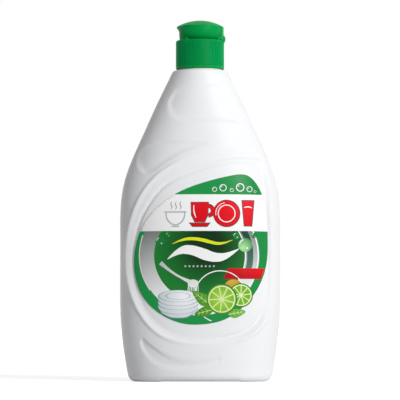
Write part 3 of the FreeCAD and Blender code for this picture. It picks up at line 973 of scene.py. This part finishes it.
@dataclass(frozen=True)
class Print:
    """One layer of print: its piece's name, its drawing and ink, and how many layers lie under it."""

    name: str
    art: FlatArt
    ink: Ink
    layer: int


class Tableware:
    """Red plate, cup and glass beside a grey bowl, for the label's white band."""

    plate_middle: Point = (16.4, 103.7)
    plate_radius: float = 8.0

    @classmethod
    def crockery(cls, grow: float) -> FlatArt:
        """The cup, plate and glass.

        Args:
            grow: how far their outlines are moved out.
        Returns:
            Their drawing.
        """
        art = FlatArt()
        cup = [(-5.4, 110.4), (5.0, 110.4), (4.7, 103.0), (2.6, 98.6), (-3.0, 98.6), (-5.1, 103.0)]
        glass = [(26.0, 111.6), (33.2, 111.6), (31.8, 96.2), (27.4, 96.2)]
        for outline in (cup, glass):
            middle = np.mean(outline, axis=0)
            away = np.sign(np.array(outline) - middle)
            art.face(np.array(outline) + away * grow)
        over, under = 97.6 + grow, 95.8 - grow
        art.face([(-6.6 - grow, over), (6.2 + grow, over), (4.0 + grow, under), (-4.4 - grow, under)])
        art.arc((5.0, 105.4), 2.0 - grow, 3.9 + grow, -88, 88)
        return art.disc(cls.plate_middle, cls.plate_radius + grow)

    @classmethod
    def prints(cls) -> list[Print]:
        """Draws it.

        Returns:
            The drawing's layers.
        """
        side = [(-21.0, 104.4), (-20.0, 99.8), (-15.2, 96.6), (-10.4, 99.8), (-9.4, 104.4)]
        bowl = FlatArt().stroke(side, [0.7, 0.9, 0.9, 0.9, 0.7])
        bowl.stroke([(-22.0, 104.6), (-8.4, 104.6)], [0.8, 0.8])
        bowl.stroke([(-17.6, 95.7), (-12.8, 95.7)], [0.8, 0.8])
        for x in (-18.0, -15.2, -12.4):
            bowl.stroke([(x, 106.2), (x + 0.7, 107.8), (x, 109.4), (x + 0.7, 111.0)], [0.4, 0.7, 0.7, 0.3])
        lights = FlatArt().arc(cls.plate_middle, 4.9, 5.5).arc(cls.plate_middle, 6.5, 6.9, 100, 190)
        lights.stroke([(27.2, 107.4), (29.6, 107.9), (32.0, 107.3)], [0.5, 0.7, 0.5])
        lights.stroke([(-3.8, 108.8), (-3.6, 104.4), (-2.4, 101.0)], [0.5, 0.8, 0.4])
        return [
            Print("label_bowl", bowl, Ink.GREY, 1),
            Print("label_crockery_edge", cls.crockery(0.45), Ink.SHADE, 1),
            Print("label_crockery", cls.crockery(0.0), Ink.RED, 2),
            Print("label_crockery_lights", lights, Ink.FILM, 3),
        ]


class Dishes:
    """A stack of plates and a dish brush."""

    middle: float = -13.5
    rims: tuple[float, ...] = (45.4, 47.9, 50.4, 52.9)
    radius: float = 12.2
    squash: float = 0.3

    @classmethod
    def prints(cls) -> list[Print]:
        """Draws it.

        Returns:
            The drawing's layers.
        """
        fill, lines = FlatArt(), FlatArt()
        low, high = cls.rims[0], cls.rims[-1]
        turn = np.radians(np.linspace(0, 180, 25))
        across = np.cos(turn) * cls.radius + cls.middle
        rim = np.stack([across, np.sin(turn) * cls.radius * cls.squash + high], 1)
        drops = ((-12.2, 0.0), (-9.6, 3.2), (-5.4, 5.6), (0.0, 6.2), (5.4, 5.6), (9.6, 3.2), (12.2, 0.0))
        foot = [(x, low - drop) for x, drop in drops]
        fill.face([*rim, *[(x + cls.middle, z) for x, z in foot]])
        for z in cls.rims:
            lines.arc((cls.middle, z), cls.radius - 0.45, cls.radius, 180, 360, cls.squash)
        lines.arc((cls.middle, high), cls.radius - 0.4, cls.radius, 0, 180, cls.squash)
        lines.arc((cls.middle, high), 7.2, 7.6, 0, 360, cls.squash)
        lines.stroke([(x + cls.middle, z) for x, z in foot[1:-1]], [0.4, 0.5, 0.6, 0.5, 0.4])
        grip = [(-24.4, 73.4), (-18.6, 68.6), (-12.0, 64.4), (-6.0, 61.6)]
        handle = FlatArt().stroke(grip, [2.6, 1.5, 1.3, 2.4])
        handle.disc((-4.2, 60.6), 3.4, 0.72)
        bristles = FlatArt()
        for k in range(7):
            x = -7.0 + k * 0.95
            bristles.stroke([(x, 59.4), (x - 0.5 + 0.12 * k, 55.8)], [0.55, 0.4])
        return [
            Print("label_plates", fill, Ink.PLATE, 5),
            Print("label_plate_lines", lines, Ink.BLUE_GREY, 6),
            Print("label_brush_bristles", bristles, Ink.WHITE, 7),
            Print("label_brush_handle", handle, Ink.SILVER, 8),
        ]


class Citrus:
    """Two lime slices, a lemon and leaves, each leaf given by its foot, its tip and half its width."""

    leaves: tuple = (
        ((7.0, 47.0), (-4.4, 55.6), 3.4), ((8.0, 44.6), (-3.4, 41.6), 2.9), ((17.5, 41.6), (28.0, 43.4), 2.6),
    )
    segments: int = 9
    segment_turn: float = 40.0

    @staticmethod
    def slice(centre: Point, radius: float, turn: float, name: str, layer: int) -> list[Print]:
        """One slice: its rind, pith and segments.

        Args:
            centre: the slice's middle.
            radius: its radius.
            turn: angle of its first segment in degrees.
            name: its pieces' first words.
            layer: how many layers lie under it.
        Returns:
            Its layers.
        """
        flesh = FlatArt()
        for k in range(Citrus.segments):
            start = turn + k * Citrus.segment_turn
            tip = np.radians(start + 18)
            near = np.array(centre) + np.array([math.cos(tip), math.sin(tip)]) * radius * 0.12
            far = np.radians(np.linspace(start + 1, start + 35, 6))
            flesh.face([near, *(np.stack([np.cos(far), np.sin(far)], 1) * radius * 0.8 + centre)])
        return [
            Print(name + "_rind", FlatArt().disc(centre, radius), Ink.RIND, layer),
            Print(name + "_pith", FlatArt().disc(centre, radius * 0.9), Ink.PITH, layer + 1),
            Print(name + "_flesh", flesh, Ink.FLESH, layer + 2),
        ]

    @classmethod
    def prints(cls) -> list[Print]:
        """Draws it.

        Returns:
            The drawing's layers.
        """
        leaves, veins = FlatArt(), FlatArt()
        for foot, tip, width in cls.leaves:
            foot, tip = np.array(foot), np.array(tip)
            run = tip - foot
            across = np.array([-run[1], run[0]]) / np.linalg.norm(run) * width
            middle = [foot + run * s for s in (0.0, 0.3, 0.6, 1.0)]
            outline = [
                middle[0], middle[1] + across, middle[2] + across * 0.9, middle[3], middle[2] - across * 0.9,
                middle[1] - across,
            ]
            leaves.face(smooth_path(outline, True, 6))
            veins.stroke([middle[0], middle[1], middle[2], foot + run * 0.92], [0.5, 0.4, 0.35, 0.15])
            for s in (0.28, 0.5, 0.7):
                root = foot + run * s
                for side in (1, -1):
                    veins.stroke([root, root + run * 0.14 + side * across * 0.6], [0.3, 0.12])
        ring = FlatArt().arc((12.5, 52.5), 15.6, 16.2, -20, 250)
        return [
            Print("label_fruit_ring", ring, Ink.WHITE, 5),
            Print("label_lemon", FlatArt().disc((20.6, 58.2), 5.7, 0.86), Ink.LEMON, 6),
            *cls.slice((25.2, 53.4), 7.4, 10, "label_small_lime", 7),
            Print("label_leaves", leaves, Ink.LEAF, 10),
            Print("label_leaf_veins", veins, Ink.PITH, 11),
            *cls.slice((13.4, 51.0), 9.4, 25, "label_lime", 12),
        ]


class Waves:
    """Yellow and white swooshes, dots, a ribbon and bubbles, each given by its x, z and radius."""

    bubbles: tuple = (
        (27.8, 84.4, 4.3), (22.4, 90.0, 2.1), (33.4, 90.2, 1.6), (-24.6, 86.6, 2.8), (-19.6, 90.6, 1.4),
    )
    foam: tuple = (
        (9.0, 118.6, 1.5), (14.2, 119.6, 2.2), (19.6, 118.2, 1.2), (24.8, 119.9, 2.6), (30.6, 118.9, 1.8),
        (34.0, 117.4, 0.8),
    )

    @classmethod
    def prints(cls) -> list[Print]:
        """Draws it.

        Returns:
            The drawing's layers.
        """
        path = [(-17, 85.0), (-8, 88.0), (3, 87.0), (12, 85.2), (20, 87.4)]
        yellow = FlatArt().stroke(path, [0.3, 1.8, 2.2, 1.7, 0.3])
        path = [(-20, 75.6), (-9, 81.4), (3, 78.4), (13, 76.8), (24, 82.0)]
        white = FlatArt().stroke(path, [0.4, 5.4, 6.8, 5.0, 0.4])
        dots = FlatArt()
        for k in range(8):
            dots.disc((-9.0 + 2.5 * k, 71.2), 0.6)
        ribbon = FlatArt().face([(17.4, 70.0), (39.9, 70.0), (37.6, 63.4), (14.6, 63.4)])
        trim = FlatArt().stroke([(18.0, 69.1), (39.3, 69.1)], [0.35, 0.35])
        trim.stroke([(15.8, 64.3), (37.6, 64.3)], [0.35, 0.35])
        bubbles, lights, rings = FlatArt(), FlatArt(), FlatArt()
        for x, z, radius in cls.bubbles:
            bubbles.disc((x, z), radius)
            lights.arc((x, z), radius * 0.72, radius * 0.86, 105, 170)
            lights.disc((x + radius * 0.3, z - radius * 0.45), radius * 0.14)
        for x, z, radius in cls.foam:
            rings.arc((x, z), radius * 0.78, radius).arc((x, z), radius * 0.42, radius * 0.56, 110, 170)
        return [
            Print("label_yellow_wave", yellow, Ink.YELLOW, 5),
            Print("label_white_wave", white, Ink.WHITE, 5),
            Print("label_dots", dots, Ink.GREY, 5),
            Print("label_ribbon", ribbon, Ink.DEEP_RED, 5),
            Print("label_ribbon_trim", trim, Ink.RED, 6),
            Print("label_bubbles", bubbles, Ink.BUBBLE, 6),
            Print("label_bubble_lights", lights, Ink.WHITE, 7),
            Print("label_foam_rings", rings, Ink.WHITE, 2),
        ]


@dataclass
class PrintedLabel:
    """The label: a white film with layers of printed shapes."""

    shell: BottleBody
    depth: float = 1.04
    edge: float = 0.34
    layer_step: float = 0.012
    grid: float = 1.6
    outline: list[Point] = field(default_factory=lambda: [
        (29.0, 127.5), (19.0, 127.2), (0.3, 122.3), (-18.5, 113.9), (-34.1, 98.9), (-40.5, 80.0),
        (-40.2, 66.0), (-36.2, 54.0), (-27.0, 43.6), (-12.3, 36.4), (0.3, 35.4), (13.0, 37.6),
        (24.0, 43.9), (35.0, 56.5),
        (41.0, 72.0), (41.9, 86.0), (41.5, 99.5), (39.5, 112.0), (35.5, 121.5),
    ])
    white_band: Span = (92.9, 115.5)
    ring_middle: Point = (-0.3, 77.8)
    ring_radius: float = 36.9
    dark_radius: float = 28.0
    teal_radii: Span = (29.4, 33.2)

    def whole(self) -> FlatArt:
        """The label's whole outline as one face."""
        return FlatArt().face(smooth_path(self.outline, True, 8))

    def fields(self) -> list[Print]:
        """The large fields of colour.

        Returns:
            Their layers.
        """
        low, high = self.white_band
        below = ((0.0, low), (0.0, 1.0))
        middle, radius = self.ring_middle, self.ring_radius
        lines = FlatArt().arc(middle, radius, radius + 0.6, 160, 215)
        lines.arc(middle, radius - 1.0, radius - 0.2, -35, 25)
        lines.arc(middle, self.dark_radius, self.dark_radius + 0.6, -30, 32)
        return [
            Print("label_top_green", self.whole().cut((0, high), (0, -1)), Ink.GREEN, 1),
            Print("label_lower_green", self.whole().cut(*below), Ink.GREEN, 1),
            Print("label_silver", FlatArt().disc(middle, radius).cut(*below), Ink.SILVER, 2),
            Print("label_teal", FlatArt().arc(middle, *self.teal_radii, -20, 45).cut(*below), Ink.TEAL, 3),
            Print("label_dark", FlatArt().disc(middle, self.dark_radius).cut(*below), Ink.DARK, 3),
            Print("label_lines", lines.cut(*below), Ink.WHITE, 4),
        ]

    def lay(self, layer: Print) -> bpy.types.Object:
        """Lays a drawing on the panel and finishes it.

        Args:
            layer: the print.
        Returns:
            The finished piece.
        """
        layer.art.divide(self.grid)
        mesh = layer.art.mesh
        place = np.array([(v.co.x, v.co.z) for v in mesh.verts])
        front = self.shell.front_y(place, self.depth + self.shell.shrink) - layer.layer * self.layer_step
        for vertex, y in zip(mesh.verts, front):
            vertex.co.y = y
        for face in mesh.faces:
            face.normal_update()
            if face.normal.y > 0:
                face.normal_flip()
        if layer.layer == 0:
            rim = bmesh.ops.extrude_edge_only(mesh, edges=[e for e in mesh.edges if e.is_boundary])["geom"]
            behind = [v for v in rim if isinstance(v, bmesh.types.BMVert)]
            bmesh.ops.translate(mesh, verts=behind, vec=(0, self.edge, 0))
        finish = bpy.data.materials.get(layer.ink.value.name) or layer.ink.value.make()
        return Piece(layer.name, "bottle", "printed_film").to_object(mesh, finish)

    def build(self) -> list[bpy.types.Object]:
        """Builds the film and its print.

        Returns:
            The film and then each layer of print.
        """
        prints = [Print("label_film", self.whole(), Ink.FILM, 0), *self.fields()]
        for drawing in (Tableware, Waves, Dishes, Citrus):
            prints += drawing.prints()
        made = [self.lay(layer) for layer in prints]
        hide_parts("front_label")
        return made


@dataclass
class CapParts:
    """The CAD pieces that stay as they are and get their finishes."""

    nodes: dict
    weld: float = 0.000002
    crisp_angle: float = 35.0

    def dress(self, name: str, material: bpy.types.Material) -> None:
        """Gives a CAD node its finish and smooth shading.

        Args:
            name: the node.
            material: its finish.
        """
        thing = self.nodes[name]
        thing.data.materials.clear()
        thing.data.materials.append(material)
        thing.data.polygons.foreach_set("use_smooth", [True] * len(thing.data.polygons))
        weld = thing.modifiers.new("weld", "WELD")
        weld.merge_threshold = self.weld
        split_sharp_edges(thing, self.crisp_angle)

    def build(self) -> None:
        """Dresses the cap base, the lid, the liner and the liquid."""
        green = GREEN_PP.make()
        self.dress("cap_base", green)
        self.dress("flip_lid", green)
        self.dress("cap_liner", FOAM.make())
        self.dress("dish_liquid", SOAP.make())


@dataclass
class Studio:
    """Floor, lamp, world and camera."""

    camera_distance: float = 1.795
    camera_height: float = 0.035
    aim_height: float = 0.1132
    aim_x: float = 0.0
    lens: float = 258.5
    world_left: float = 0.15
    world_right: float = 0.5
    world_behind: float = 0.3
    floor_size: float = 30.0
    key_place: tuple[float, float, float] = (0.85, -1.15, 0.75)
    key_aim: tuple[float, float, float] = (0, 0, 0.11)
    key_size: Span = (0.36, 0.5)
    key_power: float = 15.8

    def floor(self) -> None:
        """A wide white floor."""
        mesh = bmesh.new()
        bmesh.ops.create_grid(mesh, x_segments=1, y_segments=1, size=self.floor_size)
        data = bpy.data.meshes.new("studio_floor")
        mesh.to_mesh(data)
        mesh.free()
        data.materials.append(StageFinish("floor_white").make())
        thing = bpy.data.objects.new("studio_floor", data)
        bpy.context.scene.collection.objects.link(thing)

    def lamp(self) -> None:
        """The key lamp, in front at the right and above."""
        light = bpy.data.lights.new("key", "AREA")
        light.shape = "RECTANGLE"
        light.size, light.size_y = self.key_size
        light.energy = self.key_power
        thing = bpy.data.objects.new("key", light)
        thing.location = self.key_place
        facing = Vector(self.key_aim) - Vector(self.key_place)
        thing.rotation_euler = facing.to_track_quat("-Z", "Y").to_euler()
        bpy.context.scene.collection.objects.link(thing)

    def world(self) -> None:
        """White where it is seen or mirrored, soft light from the right and from behind for the rest."""
        world = bpy.data.worlds.new("studio_world")
        bpy.context.scene.world = world
        world.use_nodes = True
        tree = world.node_tree
        tree.nodes.clear()
        where = tree.nodes.new("ShaderNodeTexCoord")
        split = tree.nodes.new("ShaderNodeSeparateXYZ")
        tree.links.new(where.outputs["Generated"], split.inputs["Vector"])
        parts = []
        sides = {
            "X": (-0.9, 0.9, self.world_left, self.world_right),
            "Y": (0.2, 1.0, 0.0, self.world_behind),
        }
        for axis, limits in sides.items():
            side = tree.nodes.new("ShaderNodeMapRange")
            side.interpolation_type = "SMOOTHSTEP"
            for key, value in zip(("From Min", "From Max", "To Min", "To Max"), limits):
                side.inputs[key].default_value = value
            tree.links.new(split.outputs[axis], side.inputs["Value"])
            parts.append(side.outputs["Result"])
        level = tree.nodes.new("ShaderNodeMath")
        for socket, part in zip(level.inputs, parts):
            tree.links.new(part, socket)
        path = tree.nodes.new("ShaderNodeLightPath")
        seen = tree.nodes.new("ShaderNodeMix")
        seen.data_type = "FLOAT"
        seen.inputs["B"].default_value = 1.0
        background = tree.nodes.new("ShaderNodeBackground")
        background.inputs["Color"].default_value = (1, 1, 1, 1)
        output = tree.nodes.new("ShaderNodeOutputWorld")
        shown = path.outputs["Is Camera Ray"]
        for kind in ("Is Glossy Ray", "Is Transmission Ray"):
            either = tree.nodes.new("ShaderNodeMath")
            either.operation = "MAXIMUM"
            tree.links.new(shown, either.inputs[0])
            tree.links.new(path.outputs[kind], either.inputs[1])
            shown = either.outputs["Value"]
        tree.links.new(shown, seen.inputs["Factor"])
        tree.links.new(level.outputs["Value"], seen.inputs["A"])
        tree.links.new(seen.outputs["Result"], background.inputs["Strength"])
        tree.links.new(background.outputs["Background"], output.inputs["Surface"])

    def camera(self) -> None:
        """The photograph's view."""
        data = bpy.data.cameras.new("camera")
        data.lens = self.lens
        data.sensor_width = 36.0
        thing = bpy.data.objects.new("camera", data)
        thing.location = (self.aim_x, -self.camera_distance, self.camera_height)
        aim = Vector((self.aim_x, 0, self.aim_height))
        thing.rotation_euler = (aim - thing.location).to_track_quat("-Z", "Y").to_euler()
        bpy.context.scene.collection.objects.link(thing)
        bpy.context.scene.camera = thing

    def build(self) -> None:
        """Sets the whole studio up."""
        self.floor()
        self.world()
        self.lamp()
        self.camera()
        bpy.context.scene.view_settings.view_transform = "Standard"


def main() -> None:
    """Builds the object and its studio, piece by piece."""
    logging.basicConfig(level=logging.INFO, format="%(message)s")
    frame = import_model()
    shell = BottleBody("bottle_body", "bottle", "white_hdpe")
    LOG.info("body: %d faces", len(shell.build().data.polygons))
    for thing in ScrewNeck("bottle_neck", "bottle", "white_hdpe").build():
        LOG.info("%s: %d faces", thing.name, len(thing.data.polygons))
    for thing in PrintedLabel(shell).build():
        LOG.info("%s: %d faces", thing.name, len(thing.data.polygons))
    CapParts(frame["nodes"]).build()
    LOG.info("cap pieces dressed")
    Studio().build()
    LOG.info("studio set")


if __name__ == "__main__":
    main()
